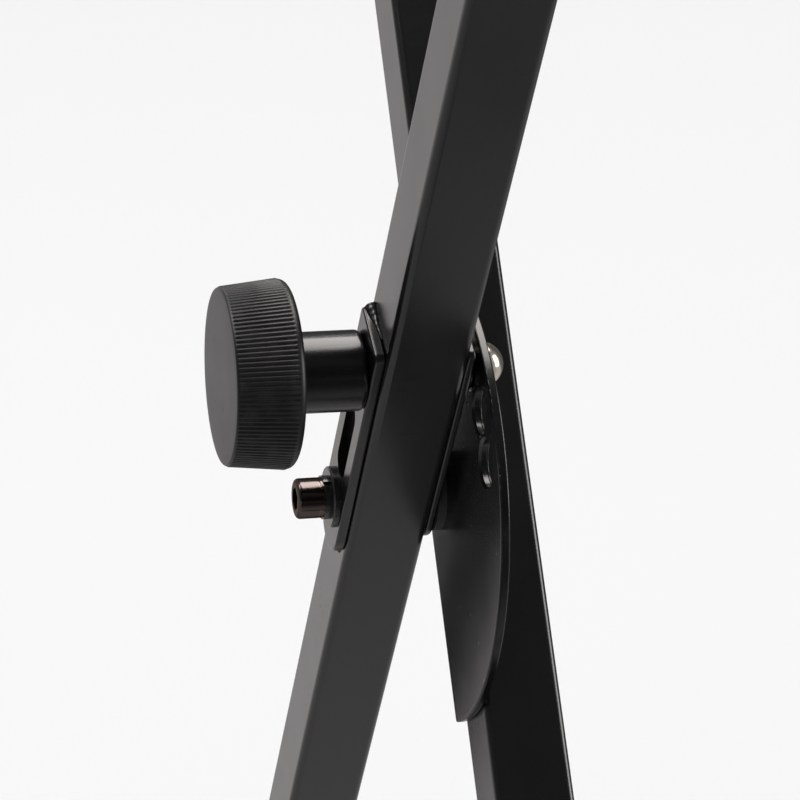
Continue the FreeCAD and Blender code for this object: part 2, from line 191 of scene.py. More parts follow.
def makeHandlingGroup(effect):
    group, given, made = newGroup("handlingMarks", effect["inputs"], ("Smudge", "Scratch"))
    place = addNode(group, "ShaderNodeTexCoord").outputs["Object"]
    cloud = noiseNode(group, place, given["Scale"], effect["smudgeDetail"], effect["smudgeRough"])
    stretch = addNode(group, "ShaderNodeMapping")
    stretch.inputs["Rotation"].default_value = effect["scratchTurn"]
    stretch.inputs["Scale"].default_value = effect["scratchStretch"]
    group.links.new(place, stretch.inputs["Vector"])
    lines = noiseNode(group, stretch.outputs["Vector"], given["Scratch Scale"], effect["scratchDetail"])
    group.links.new(rangeNode(group, cloud, effect["smudgeFade"]), made["Smudge"])
    group.links.new(rangeNode(group, lines, effect["scratchFade"]), made["Scratch"])
    return group


# wear in patches along the edges

edgeEffect = {
    "inputs": {"Radius": 0.8 * mm, "Breakup Scale": 140.0},
    "bevelSamples": 4,
    "rimFade": (0.995, 0.86),      # how well the rounded normal agrees with the face's own
    "breakupDetail": 4.0,
    "breakupFade": (0.46, 0.64),
}


def makeEdgeGroup(effect):
    group, given, made = newGroup("edgeWear", effect["inputs"], ("Mask",))
    bevel = addNode(group, "ShaderNodeBevel", samples=effect["bevelSamples"])
    group.links.new(given["Radius"], bevel.inputs["Radius"])
    flat = addNode(group, "ShaderNodeNewGeometry")
    compare = addNode(group, "ShaderNodeVectorMath", operation="DOT_PRODUCT")
    group.links.new(bevel.outputs["Normal"], compare.inputs[0])
    group.links.new(flat.outputs["True Normal"], compare.inputs[1])
    rim = rangeNode(group, compare.outputs["Value"], effect["rimFade"])
    place = addNode(group, "ShaderNodeTexCoord").outputs["Object"]
    patches = noiseNode(group, place, given["Breakup Scale"], effect["breakupDetail"])
    broken = rangeNode(group, patches, effect["breakupFade"])
    group.links.new(mathNode(group, "MULTIPLY", rim, broken), made["Mask"])
    return group


# a few specks of dust

speckEffect = {
    "inputs": {"Scale": 420.0, "Amount": 0.16},
    "core": 0.02,
    "rareFrom": 0.86,              # only cells above this get a speck
}


def makeSpeckGroup(effect):
    group, given, made = newGroup("dustSpecks", effect["inputs"], ("Mask",))
    place = addNode(group, "ShaderNodeTexCoord").outputs["Object"]
    cells = addNode(group, "ShaderNodeTexVoronoi")
    group.links.new(place, cells.inputs["Vector"])
    group.links.new(given["Scale"], cells.inputs["Scale"])
    dot = rangeNode(group, cells.outputs["Distance"], (given["Amount"], effect["core"]))
    chosen = addNode(group, "ShaderNodeSeparateColor")
    group.links.new(cells.outputs["Color"], chosen.inputs["Color"])
    rare = mathNode(group, "GREATER_THAN", chosen.outputs["Red"], effect["rareFrom"])
    group.links.new(mathNode(group, "MULTIPLY", dot, rare), made["Mask"])
    return group


grainGroup = makeGrainGroup(grainEffect)
handlingGroup = makeHandlingGroup(handlingEffect)
edgeGroup = makeEdgeGroup(edgeEffect)
speckGroup = makeSpeckGroup(speckEffect)
print("shared effects made")


# finishes, one for each material slot, written as changes to a plain one

plainLook = {
    "color": (0.02, 0.02, 0.02), "cloudColor": (0.022, 0.022, 0.023),
    "metallic": 0.0, "ior": 1.5, "edgeTint": (1.0, 1.0, 1.0),
    "rough": 0.45, "smudgeRough": 0.05, "scratchRough": 0.05, "grainRough": 0.06,
    "grain": 900.0, "fineGrain": 4200.0, "grainMix": 0.35, "bump": 0.12, "bumpDepth": 0.4 * mm,
    "smudgeScale": 18.0, "scratchScale": 240.0,
    "speckScale": 260.0, "speckSize": 0.1, "speckStrength": 0.3, "speckColor": (0.07, 0.068, 0.066),
    "edgeRadius": 0.6 * mm, "edgeBreakup": 160.0, "edgeStrength": 0.25, "edgeColor": (0.06, 0.06, 0.06),
}
finishes = {
    "black_powder": {
        "color": (0.0034, 0.0034, 0.0036), "cloudColor": (0.0046, 0.0045, 0.0045),
        "rough": 0.2, "grain": 1150.0, "bump": 0.06, "edgeColor": (0.03, 0.03, 0.03)},
    "knob_plastic": {
        "color": (0.0056, 0.0056, 0.0058), "cloudColor": (0.007, 0.007, 0.0071), "ior": 1.47, "rough": 0.4,
        "grain": 2600.0, "fineGrain": 9000.0, "bump": 0.10, "bumpDepth": 0.2 * mm, "speckStrength": 0.15},
    "black_oxide": {
        "color": (0.088, 0.073, 0.069), "cloudColor": (0.112, 0.092, 0.086), "metallic": 1.0,
        "edgeTint": (0.42, 0.40, 0.38), "rough": 0.16, "smudgeScale": 60.0,
        "grain": 2200.0, "bump": 0.05, "bumpDepth": 0.2 * mm,
        "edgeColor": (0.34, 0.27, 0.22), "edgeStrength": 0.5},
    "black_steel": {
        "color": (0.006, 0.006, 0.0065), "cloudColor": (0.009, 0.0088, 0.0086), "rough": 0.2,
        "smudgeScale": 60.0, "grain": 2200.0, "bump": 0.05, "bumpDepth": 0.2 * mm,
        "edgeColor": (0.12, 0.11, 0.10), "edgeStrength": 0.4},
    "nickel": {
        "color": (0.74, 0.68, 0.60), "cloudColor": (0.64, 0.58, 0.50), "metallic": 1.0, "rough": 0.13,
        "smudgeScale": 90.0, "scratchRough": 0.12, "bump": 0.03, "speckStrength": 0.1,
        "edgeColor": (0.8, 0.76, 0.7),
        # painted shade: the pin's shaft is painted dark up to the lock plate's back, where it stands in shade, and
        # its nose past that keeps the plain nickel colour
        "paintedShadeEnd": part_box("lock_disc")[1].y, "paintedShadeFade": 0.8 * mm, "paintedShadeColor": (0.05, 0.047, 0.044)},
    "zinc_steel": {
        "color": (0.56, 0.57, 0.59), "cloudColor": (0.5, 0.5, 0.5), "metallic": 1.0, "rough": 0.28,
        "smudgeScale": 70.0, "scratchRough": 0.15, "bump": 0.05, "edgeColor": (0.66, 0.66, 0.68)},
    "spring_steel": {
        "color": (0.3, 0.3, 0.31), "cloudColor": (0.24, 0.23, 0.22), "metallic": 1.0, "rough": 0.3,
        "edgeStrength": 0.0},
    "rubber": {
        "color": (0.016, 0.016, 0.016), "cloudColor": (0.022, 0.0215, 0.021), "rough": 0.72,
        "grain": 1500.0, "fineGrain": 6000.0, "bump": 0.25, "speckStrength": 0.6,
        "edgeColor": (0.045, 0.044, 0.043)},
    "cap_plastic": {
        "color": (0.015, 0.015, 0.0155), "cloudColor": (0.018, 0.018, 0.018), "rough": 0.5,
        "grain": 2000.0, "bump": 0.22},
    "brass": {
        "color": (0.72, 0.55, 0.27), "cloudColor": (0.62, 0.46, 0.22), "metallic": 1.0, "rough": 0.25,
        "edgeColor": (0.8, 0.64, 0.36)},
}
noiseMiddle = 0.5


def useGroup(tree, group, values):
    node = addNode(tree, "ShaderNodeGroup", node_tree=group)
    for label, value in values.items():
        node.inputs[label].default_value = value
    return node.outputs


def blendColor(tree, mask, base, over):
    node = addNode(tree, "ShaderNodeMix", data_type="RGBA")
    feed(tree, node.inputs["Factor"], mask)
    feed(tree, node.inputs[6], base)     # the mix node's own colour sockets
    feed(tree, node.inputs[7], over)
    return node.outputs[2]


def finishColor(tree, look, smudge):
    specks = useGroup(tree, speckGroup, {"Scale": look["speckScale"], "Amount": look["speckSize"]})
    edges = useGroup(tree, edgeGroup, {"Radius": look["edgeRadius"], "Breakup Scale": look["edgeBreakup"]})
    dusty = mathNode(tree, "MULTIPLY", specks["Mask"], look["speckStrength"])
    worn = mathNode(tree, "MULTIPLY", edges["Mask"], look["edgeStrength"])
    color = blendColor(tree, smudge, look["color"], look["cloudColor"])
    color = blendColor(tree, dusty, color, look["speckColor"])
    color = blendColor(tree, worn, color, look["edgeColor"])
    # painted shade: along the pin's axis the colour turns to a dark shaft colour before the lock plate's back,
    # standing in for the shade there
    if "paintedShadeEnd" in look:
        place = addNode(tree, "ShaderNodeTexCoord").outputs["Object"]
        fade = (look["paintedShadeEnd"] - look["paintedShadeFade"], look["paintedShadeEnd"])
        pastPaintedShade = rangeNode(tree, splitPlace(tree, place)["Y"], fade)
        color = blendColor(tree, pastPaintedShade, look["paintedShadeColor"], color)
    return color


def finishRoughness(tree, look, marks, fineGrain):
    smudged = mathNode(tree, "MULTIPLY_ADD", marks["Smudge"], look["smudgeRough"], look["rough"])
    scratched = mathNode(tree, "MULTIPLY_ADD", marks["Scratch"], look["scratchRough"], smudged)
    uneven = mathNode(tree, "SUBTRACT", fineGrain, noiseMiddle)
    return mathNode(tree, "MULTIPLY_ADD", uneven, look["grainRough"], scratched)


def makeFinish(name, look):
    material = bpy.data.materials.new(name)
    material.use_nodes = True
    tree = material.node_tree
    shader = tree.nodes["Principled BSDF"]
    grain = useGroup(tree, grainGroup, {
        "Scale": look["grain"], "Fine Scale": look["fineGrain"], "Mix": look["grainMix"]})
    marks = useGroup(tree, handlingGroup, {
        "Scale": look["smudgeScale"], "Scratch Scale": look["scratchScale"]})
    tree.links.new(finishColor(tree, look, marks["Smudge"]), shader.inputs["Base Color"])
    tree.links.new(finishRoughness(tree, look, marks, grain["Fine"]), shader.inputs["Roughness"])
    shader.inputs["Metallic"].default_value = look["metallic"]
    shader.inputs["IOR"].default_value = look["ior"]
    shader.inputs["Specular Tint"].default_value = (*look["edgeTint"], 1.0)
    bump = addNode(tree, "ShaderNodeBump")
    bump.inputs["Strength"].default_value = look["bump"]
    bump.inputs["Distance"].default_value = look["bumpDepth"]
    tree.links.new(grain["Height"], bump.inputs["Height"])
    tree.links.new(bump.outputs["Normal"], shader.inputs["Normal"])
    return material


materials = {}
for slotName, changes in finishes.items():
    materials[slotName] = makeFinish(slotName + "Finish", {**plainLook, **changes})
for entry in frame["record"]["subparts"]:
    mesh = nodes[entry["node"]].data
    mesh.materials.clear()
    mesh.materials.append(materials[entry["material_slot"]])
print("finishes made,", len(materials))


# mesh helpers

sharpAngle = math.radians(38)


def addMesh(name, vertices, faces, slotName, body):
    mesh = bpy.data.meshes.new(name)
    mesh.from_pydata([tuple(point) for point in vertices], [], faces)
    mesh.validate()
    for polygon in mesh.polygons:
        polygon.use_smooth = True
    mesh.materials.append(materials[slotName])
    piece = bpy.data.objects.new(name, mesh)
    bpy.context.scene.collection.objects.link(piece)
    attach(piece, body)
    return piece


def squareUp(piece):
    # faces turned outwards, sharp edges kept sharp
    shape = bmesh.new()
    shape.from_mesh(piece.data)
    bmesh.ops.recalc_face_normals(shape, faces=shape.faces)
    shape.to_mesh(piece.data)
    shape.free()
    piece.data.set_sharp_from_angle(angle=sharpAngle)


def bridge(faces, near, far, count):
    # four-sided faces between two closed rings of points, each given by its first point
    for step in range(count):
        after = (step + 1) % count
        faces.append((near + step, near + after, far + after, far + step))


def quarterRound(first, steps):
    # sine and cosine along a quarter turn, from the step named first to its end
    turns = [quarterTurn * step / steps for step in range(first, steps + 1)]
    return [(math.sin(turn), math.cos(turn)) for turn in turns]


# where things are: the pin's axis, and each leg as a direction from the pivot

def middleOf(nodeName):
    low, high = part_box(nodeName)
    return (low + high) / 2


pin = middleOf("lock_pin")
pinReach = math.hypot(pin.x - pivot.x, pin.z - pivot.z)
frontUp = Vector((pin.x - pivot.x, 0.0, pin.z - pivot.z)) / pinReach
legUp = {"front_frame": frontUp, "rear_frame": Vector((-frontUp.x, 0.0, frontUp.z))}
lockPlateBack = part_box("lock_disc")[1].y


def acrossLeg(body):
    up = legUp[body]
    return Vector((up.z, 0.0, -up.x))


def onLeg(body, across, y, along):
    return Vector((pivot.x, y, pivot.z)) + acrossLeg(body) * across + legUp[body] * along


# knob, turned on the pin's axis

knobShape = {
    "ribs": 118,
    "ridge": (0.0, 0.75, 1.0, 1.0, 1.0, 0.75, 0.0, 0.0),   # one rib, from groove to groove
    "ribDepth": 0.5 * mm,
    "ribHeight": 0.3 * mm,        # crest above the smooth side
    "ribFade": 0.45 * mm,
    "faceRadius": 31.7 * mm,
    "backRadius": 34.3 * mm,      # the side widens towards the leg
    "crown": 0.35 * mm,
    "crownShares": (0.2, 0.45, 0.7, 0.88, 1.0),   # rings on the face, as shares of its radius
    "faceRound": 0.8 * mm,
    "faceRoundSteps": 5,
    "backRound": 2.8 * mm,
    "backRoundSteps": 8,
    "recessRadius": 15.3 * mm,
    "recessFlare": 0.8 * mm,
    "recessLip": 0.6 * mm,
}


def knobProfile(shape, face, back):
    # radius, place along the axis, how much of the rib shows
    def side(y):
        return shape["faceRadius"] + (shape["backRadius"] - shape["faceRadius"]) * (y - face) / (back - face)

    small, large, fade = shape["faceRound"], shape["backRound"], shape["ribFade"]
    flat = shape["faceRadius"] - small
    start, end = face + small + shape["crown"], back - large
    rings = [(flat * share, face + shape["crown"] * share ** 2, 0.0) for share in shape["crownShares"]]
    for rise, fall in quarterRound(1, shape["faceRoundSteps"]):
        rings.append((flat + (side(start) - flat) * rise, start - small * fall, 0.0))
    for y in (start + fade, (start + end) / 2, end - fade):
        rings.append((side(y) + shape["ribHeight"], y, 1.0))
    rings.append((side(end), end, 0.0))
    for rise, fall in quarterRound(1, shape["backRoundSteps"]):
        rings.append((side(end) - large * (1 - fall), end + large * rise, 0.0))
    rings.append((shape["recessRadius"] + shape["recessFlare"], back, 0.0))
    rings.append((shape["recessRadius"], back - shape["recessLip"], 0.0))
    return rings


def addKnob(shape):
    low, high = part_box("knob")
    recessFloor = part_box("knob_insert")[1].y
    rings = knobProfile(shape, low.y, high.y) + [(shape["recessRadius"], recessFloor, 0.0)]
    ridge = shape["ridge"]
    count = shape["ribs"] * len(ridge)
    vertices, faces = [], []
    for radius, y, weight in rings:
        for step in range(count):
            angle = fullTurn * step / count
            reach = radius - weight * shape["ribDepth"] * (1 - ridge[step % len(ridge)])
            vertices.append((pin.x + reach * math.cos(angle), y, pin.z + reach * math.sin(angle)))
    for ring in range(len(rings) - 1):
        bridge(faces, ring * count, (ring + 1) * count, count)
    # the face and the recess floor close to their middles
    for ring, y, flip in ((0, low.y, True), (len(rings) - 1, recessFloor, False)):
        middle = len(vertices)
        vertices.append((pin.x, y, pin.z))
        for step in range(count):
            here, after = ring * count + step, ring * count + (step + 1) % count
            faces.append((after, here, middle) if flip else (here, after, middle))
    piece = addMesh("ribbedKnob", vertices, faces, "knob_plastic", "pull_pin")
    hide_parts("knob")


addKnob(knobShape)
print("knob turned")


# pin spring, wound inside the barrel and squeezed as the pin is pulled

springShape = {
    "turns": 8,
    "stepsPerTurn": 44,
    "wireRadius": 0.7 * mm,
    "sectionSteps": 12,
}


def addPinSpring(shape):
    low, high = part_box("pin_spring")
    wire, section = shape["wireRadius"], shape["sectionSteps"]
    length = high.y - low.y
    radius = (high.z - low.z) / 2 - wire
    rise = length - 2 * wire
    count = shape["turns"] * shape["stepsPerTurn"]
    vertices, faces = [], []
    for step in range(count + 1):
        angle = fullTurn * step / shape["stepsPerTurn"]
        out = Vector((math.cos(angle), 0.0, math.sin(angle)))
        along = Vector((-out.z * radius, rise / (fullTurn * shape["turns"]), out.x * radius)).normalized()
        lift = out.cross(along)
        middle = Vector((pin.x, low.y + wire + rise * step / count, pin.z)) + out * radius
        for part in range(section):
            turn = fullTurn * part / section
            vertices.append(middle + (out * math.cos(turn) + lift * math.sin(turn)) * wire)
    for step in range(count):
        bridge(faces, step * section, (step + 1) * section, section)
    faces += [tuple(range(section)), tuple(range(count * section, (count + 1) * section))]
    piece = addMesh("pinSpringCoil", vertices, faces, "spring_steel", "front_frame")
    squareUp(piece)
    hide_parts("pin_spring")
    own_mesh(piece)


addPinSpring(springShape)
print("spring wound")


# weld beads, each laid in a corner between two faces

weldShape = {
    "step": 0.3 * mm,
    "sectionSteps": 10,
    "taper": 1.6 * mm,           # each end thins over this length
    "endShare": 0.3,             # down to this share of the full size
    "hollow": 1.1,               # above 1 the bead's face is hollow
    "root": 0.3 * mm,            # how far the bead reaches behind its corner
    "ripple": 2.4 * mm,          # one puddle to the next
    "rippleDepth": 0.05 * mm,
    "rippleBow": 0.5 * mm,
    "lumpScale": 320.0,
    "lumpSpread": 2.0,
    "lumpDepth": 0.14 * mm,
    "fullRise": 2.0 * mm,        # lower beads are smoother
}


def weldShares(length, weld):
    # even steps along a bead, from 0 to 1
    count = int(length / weld["step"])
    return [step / count for step in range(count + 1)]


def addBead(name, body, route, weld):
    # route: corner, way up one face, way out over the other, how far on each
    count, vertices, faces = weld["sectionSteps"], [], []
    length = 0.0
    for index, (corner, onFace, offFace, rise, reach) in enumerate(route):
        if index:
            length += (corner - route[index - 1][0]).length
        ends = min(1.0, min(index, len(route) - 1 - index) * weld["step"] / weld["taper"])
        swell = weld["endShare"] + (1 - weld["endShare"]) * math.sqrt(1 - (1 - ends) ** 2)
        relief = swell * min(1.0, rise / weld["fullRise"])
        for step in range(count):
            share = step / (count - 1)
            crown = math.sin(math.pi * share)
            wave = 0.5 + 0.5 * math.cos(fullTurn * (length - weld["rippleBow"] * crown) / weld["ripple"])
            lump = noise.noise(corner * weld["lumpScale"] + Vector((share * weld["lumpSpread"], 0.0, 0.0)))
            extra = (weld["rippleDepth"] * wave + weld["lumpDepth"] * lump) * crown * relief
            place = corner + onFace * (rise * swell * share ** weld["hollow"] + extra)
            place += offFace * (reach * swell * (1 - share) ** weld["hollow"] + extra)
            vertices.append(place)
        vertices.append(corner - (onFace + offFace) * weld["root"])
    ring = count + 1
    for index in range(len(route) - 1):
        bridge(faces, index * ring, (index + 1) * ring, ring)
    faces += [tuple(range(ring))[::-1], tuple(range((len(route) - 1) * ring, len(route) * ring))]
    addMesh(name, vertices, faces, "black_powder", body)


# welds of the two plates on the front leg

plates = {
    # head past the pin, foot past the pivot
    "front_lock_plate": {"head": 20.5 * mm, "foot": 25.0 * mm, "width": 26.5 * mm,
                         "bead": 46.0 * mm, "side": -1},
    "rear_lock_plate": {"head": 20.0 * mm, "foot": 19.0 * mm, "width": 26.5 * mm,
                        "bead": 40.0 * mm, "side": 1},
}
tackWeld = {
    **weldShape,
    "length": 17.0 * mm,
    "rise": 2.8 * mm,            # at the far corner, from where it thins out
    "reach": 3.6 * mm,
    "inset": 0.8 * mm,
    "sink": 0.2 * mm,            # how far it starts below the plate's top
    "taper": 0.9 * mm,
    "hollow": 0.6,
}
edgeWeld = {
    **weldShape,
    "rise": 1.5 * mm,
    "reach": 2.3 * mm,
    "start": 4.0 * mm,           # below the plate's top
    "hollow": 0.9,
}
footWeld = {
    **weldShape,
    "rise": 2.2 * mm,
    "reach": 2.4 * mm,
    "sweep": math.radians(70),   # of the plate's round foot
}


def addPlateWelds(nodeName, plate, tack, edge, foot):
    body = "front_frame"
    low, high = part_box(nodeName)
    faceY = high.y if plate["side"] < 0 else low.y
    off = Vector((0.0, plate["side"], 0.0))
    up, across = legUp[body], acrossLeg(body)
    head, half = pinReach + plate["head"], plate["width"] / 2

    route = []
    for share in weldShares(tack["length"], tack):
        left = 1 - share
        corner = onLeg(body, -half + tack["inset"] + tack["length"] * share, faceY, head - tack["sink"])
        route.append((corner, up, off, tack["rise"] * left + tack["sink"], tack["reach"] * left))
    addBead(nodeName + "TopTack", body, route, tack)

    route = []
    for share in weldShares(plate["bead"], edge):
        corner = onLeg(body, -half, faceY, head - edge["start"] - plate["bead"] * share)
        route.append((corner, -across, off, edge["rise"], edge["reach"]))
    addBead(nodeName + "SideWeld", body, route, edge)

    middle = onLeg(body, 0.0, faceY, half - plate["foot"])
    route = []
    for share in weldShares(half * foot["sweep"], foot):
        turn = -quarterTurn - foot["sweep"] / 2 + foot["sweep"] * share
        out = across * math.cos(turn) + up * math.sin(turn)
        route.append((middle + out * half, out, off, foot["rise"], foot["reach"]))
    addBead(nodeName + "FootWeld", body, route, foot)


for nodeName, plate in plates.items():
    addPlateWelds(nodeName, plate, tackWeld, edgeWeld, footWeld)
print("plates welded")


# stitches behind the lock plate, in the corner between it and the rear leg's side

stitchWeld = {
    **weldShape,
    "places": (-58.0 * mm, 0.0, 58.0 * mm),
    "length": 26.0 * mm,
    "rise": 3.4 * mm,
    "sink": 0.6 * mm,            # past the leg's rounded corner
}


def addStitches(weld):
    body = "rear_frame"
    tubeLow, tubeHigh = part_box("rear_leg_tube")
    half = (tubeHigh.y - tubeLow.y) / 2
    off = Vector((0.0, 1.0, 0.0))
    for number, middle in enumerate(weld["places"], 1):
        route = []
        for share in weldShares(weld["length"], weld):
            along = middle - weld["length"] / 2 + weld["length"] * share
            corner = onLeg(body, half - weld["sink"], lockPlateBack, along)
            route.append((corner, acrossLeg(body), off, weld["rise"] + weld["sink"], weld["rise"]))
        addBead("discStitch%d" % number, body, route, weld)


addStitches(stitchWeld)
print("lock plate stitched")


# rolled lips at the back of the lock holes

holeLip = {
    "stops": range(-2, 5),       # from the widest setting to the narrowest, 0 is the one in use
    "radius": 8.75 * mm,
    "depth": 0.85 * mm,
    "swell": 0.28 * mm,
    "inset": 0.02 * mm,          # from the plate's back
    "turnSteps": 72,
    "sectionSteps": 7,
}


def addHoleLips(lip):
    widest = math.radians(joints["fold"]["range_deg"][0])
    pitch = widest / lip["stops"][0]
    start = math.atan2(pin.z - pivot.z, pin.x - pivot.x)
    turns, section = lip["turnSteps"], lip["sectionSteps"]
    for number, stop in enumerate(lip["stops"], 1):
        turn = start + pitch * stop
        middle = Vector((pivot.x + pinReach * math.cos(turn), 0.0, pivot.z + pinReach * math.sin(turn)))
        vertices, faces = [], []
        for step in range(turns):
            angle = fullTurn * step / turns
            way = Vector((math.cos(angle), 0.0, math.sin(angle)))
            for part in range(section):
                sweep = math.pi * part / (section - 1)
                radius = lip["radius"] - lip["swell"] * math.sin(sweep)
                y = lockPlateBack - lip["inset"] - lip["depth"] * (0.5 + 0.5 * math.cos(sweep))
                vertices.append(middle + way * radius + Vector((0.0, y, 0.0)))
            bridge(faces, step * section, (step + 1) % turns * section, section)
        squareUp(addMesh("holeLip%d" % number, vertices, faces, "black_powder", "rear_frame"))


addHoleLips(holeLip)
print("hole lips rolled")


# rubber sleeves on the arm bars and boots on the foot bars

rubberShape = {
    "barReach": 500.0 * mm,      # pivot to a bar's middle, along the leg
    "boreRadius": 12.75 * mm,
    "turnSteps": 96,
}
sleeveShape = {
    **rubberShape,
    "end": 1,                    # at the leg's top, its flat upwards
    "length": 120.0 * mm,
    "wall": 0.0,                 # open at both ends
    "radius": 16.0 * mm,
    "waist": 15.55 * mm,
    "flat": 15.2 * mm,
    "lip": 1.8 * mm,
    "lipSteps": 5,
    "collar": 7.0 * mm,
    "collarSlope": 0.8 * mm,
    "ringStart": 2.2 * mm,       # first groove, from the collar
    "ringPitch": 5.3 * mm,
    "ringWidth": 1.7 * mm,
    "ringSlope": 0.35 * mm,
    "ringDepth": 0.55 * mm,
    "ringFlatDepth": 0.35 * mm,
}
bootShape = {
    **rubberShape,
    "end": -1,                   # at the leg's foot, its flat downwards
    "length": 46.0 * mm,
    "wall": 4.0 * mm,            # of the closed end
    "radius": 17.0 * mm,
    "waist": 16.6 * mm,
    "flat": 16.4 * mm,
    "rim": ((0.0, 0.9 * mm), (0.35 * mm, 0.3 * mm), (1.0 * mm, 0.0), (5.2 * mm, 0.0)),   # place, drop
    "rimEnd": 6.0 * mm,
    "bandPlaces": (9.0 * mm, 13.5 * mm),
    "bandHalf": 0.9 * mm,
    "bandCrestHalf": 0.4 * mm,
    "bandDrop": 0.1 * mm,
    "soleSwell": 0.1 * mm,       # beyond the waist
    "treadStart": 3.2 * mm,      # first tread groove, from the last band
    "treadEnd": 1.5 * mm,
    "treadPitch": 4.6 * mm,
    "treadWidth": 1.5 * mm,
    "treadSlope": 0.25 * mm,
    "treadDepth": 1.2 * mm,
    "lip": 2.4 * mm,
    "lipSteps": 6,
    "toeRise": 0.8 * mm,
}
noFlat = 1.0                     # a level that no section reaches


def sleeveRings(shape):
    # place along the sleeve, radius, level of the flat
    radius, waist, flat, lip = shape["radius"], shape["waist"], shape["flat"], shape["lip"]
    rings = []
    for rise, fall in quarterRound(0, shape["lipSteps"]):
        rings.append((lip * (1 - fall), radius - lip * (1 - rise), flat))
    rings.append((shape["collar"] - shape["collarSlope"], radius, flat))
    rings.append((shape["collar"], waist, flat))
    width, slope = shape["ringWidth"], shape["ringSlope"]
    low, lowFlat = waist - shape["ringDepth"], flat - shape["ringFlatDepth"]
    place = shape["collar"] + shape["ringStart"]
    while place + width < shape["length"] / 2:
        rings += [(place, waist, flat), (place + slope, low, lowFlat)]
        rings += [(place + width - slope, low, lowFlat), (place + width, waist, flat)]
        place += shape["ringPitch"]
    mirrored = [(shape["length"] - along, size, level) for along, size, level in reversed(rings)]
    return rings + mirrored


def bootRings(shape):
    # from the open end to the closed one, the sole in blocks
    radius, waist, flat, lip = shape["radius"], shape["waist"], shape["flat"], shape["lip"]
    rings = [(place, radius - drop, flat) for place, drop in shape["rim"]]
    rings.append((shape["rimEnd"], waist, flat))
    outer, inner, crest = shape["bandHalf"], shape["bandCrestHalf"], radius - shape["bandDrop"]
    for band in shape["bandPlaces"]:
        for shift, size in ((-outer, waist), (-inner, crest), (inner, crest), (outer, waist)):
            rings.append((band + shift, size, flat))
    sole, end = waist + shape["soleSwell"], shape["length"] - lip
    width, slope, deep = shape["treadWidth"], shape["treadSlope"], flat - shape["treadDepth"]
    place = shape["bandPlaces"][-1] + shape["treadStart"]
    while place + width < end - shape["treadEnd"]:
        for shift, level in ((0.0, flat), (slope, deep), (width - slope, deep), (width, flat)):
            rings.append((place + shift, sole, level))
        place += shape["treadPitch"]
    for rise, fall in quarterRound(0, shape["lipSteps"]):
        rings.append((end + lip * rise, sole - lip * (1 - fall), flat - shape["toeRise"] * (1 - fall)))
    return rings


def ringPoints(shape, middle, y, radius, flat):
    points = []
    for step in range(shape["turnSteps"]):
        turn = fullTurn * step / shape["turnSteps"]
        level = min(radius * math.sin(turn), flat)
        points.append((middle.x + radius * math.cos(turn), y, middle.z + shape["end"] * level))
    return points


def addRubber(name, nodeName, body, shape, skin):
    # one mesh for both ends of the bar: out along the skin, then back along the bore
    low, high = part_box(nodeName)
    middle = onLeg(body, 0.0, 0.0, shape["barReach"] * shape["end"])
    turns, length = shape["turnSteps"], shape["length"]
    bore = [(along, shape["boreRadius"], noFlat) for along in (length - shape["wall"], 0.0)]
    rings = skin + bore
    vertices, faces = [], []
    for outer, way in ((low.y, 1), (high.y, -1)):
        first = len(vertices)
        for along, radius, flat in rings:
            vertices += ringPoints(shape, middle, outer + way * length - way * along, radius, flat)
        for near in range(len(rings)):
            far = (near + 1) % len(rings)
            if near == len(skin) - 1 and shape["wall"]:
                # the closed end, outside and inside
                for ring in (near, far):
                    faces.append(tuple(range(first + ring * turns, first + (ring + 1) * turns)))
            else:
                bridge(faces, first + near * turns, first + far * turns, turns)
    piece = addMesh(name, vertices, faces, "rubber", body)
    squareUp(piece)
    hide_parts(nodeName)


for body, leg in (("front_frame", "front"), ("rear_frame", "rear")):
    addRubber(leg + "ArmSleeves", leg + "_arm_grips", body, sleeveShape, sleeveRings(sleeveShape))
    addRubber(leg + "FootBoots", leg + "_foot_caps", body, bootShape, bootRings(bootShape))
print("rubber fitted")


# floor, a sheet that rises in a wide curve behind the stand

floorLook = {
    "color": (0.935, 0.935, 0.934),
    "rough": 0.9,
    "size": 14.0,
    "height": 4.0,
    "bend": 2.0,
    "bendSteps": 12,
    # how bright glossy finishes see it
    "tint": (1.0, 0.965, 0.955),
    "far": 0.75,                 # behind the stand
    "farRight": 0.12,            # behind it, away from the knob
    "below": 0.56,
    "near": 0.05,                # in front of it
    "nearSides": 0.45,           # in front, to either side
    # and where each turns into the next, along X, then along Y
    "farToBelow": (-0.95, -0.3),
    "belowToNear": (0.0, 1.1),
    "farToRight": (0.1, 0.5),
    "nearToSides": (0.75, 1.5),
}


def makeFloorFinish(look):
    material = bpy.data.materials.new("paleFloor")
    material.use_nodes = True
    tree = material.node_tree
    shader = tree.nodes["Principled BSDF"]
    shader.inputs["Base Color"].default_value = (*look["color"], 1.0)
    shader.inputs["Roughness"].default_value = look["rough"]
    shader.inputs["Specular IOR Level"].default_value = 0.0
    place = splitPlace(tree, addNode(tree, "ShaderNodeNewGeometry").outputs["Position"])
    aside = mathNode(tree, "ABSOLUTE", place["Y"])
    near = rangeNode(tree, aside, look["nearToSides"], look["near"], look["nearSides"])
    below = rangeNode(tree, place["X"], look["belowToNear"], look["below"], near)
    far = rangeNode(tree, place["Y"], look["farToRight"], look["far"], look["farRight"])
    card = addNode(tree, "ShaderNodeEmission")
    card.inputs["Color"].default_value = (*look["tint"], 1.0)
    tree.links.new(rangeNode(tree, place["X"], look["farToBelow"], far, below), card.inputs["Strength"])
    rays = addNode(tree, "ShaderNodeLightPath")
    choose = addNode(tree, "ShaderNodeMixShader")
    for index, source in enumerate((rays.outputs["Is Glossy Ray"], shader.outputs[0], card.outputs[0])):
        tree.links.new(source, choose.inputs[index])
    tree.links.new(choose.outputs[0], tree.nodes["Material Output"].inputs["Surface"])
    return material


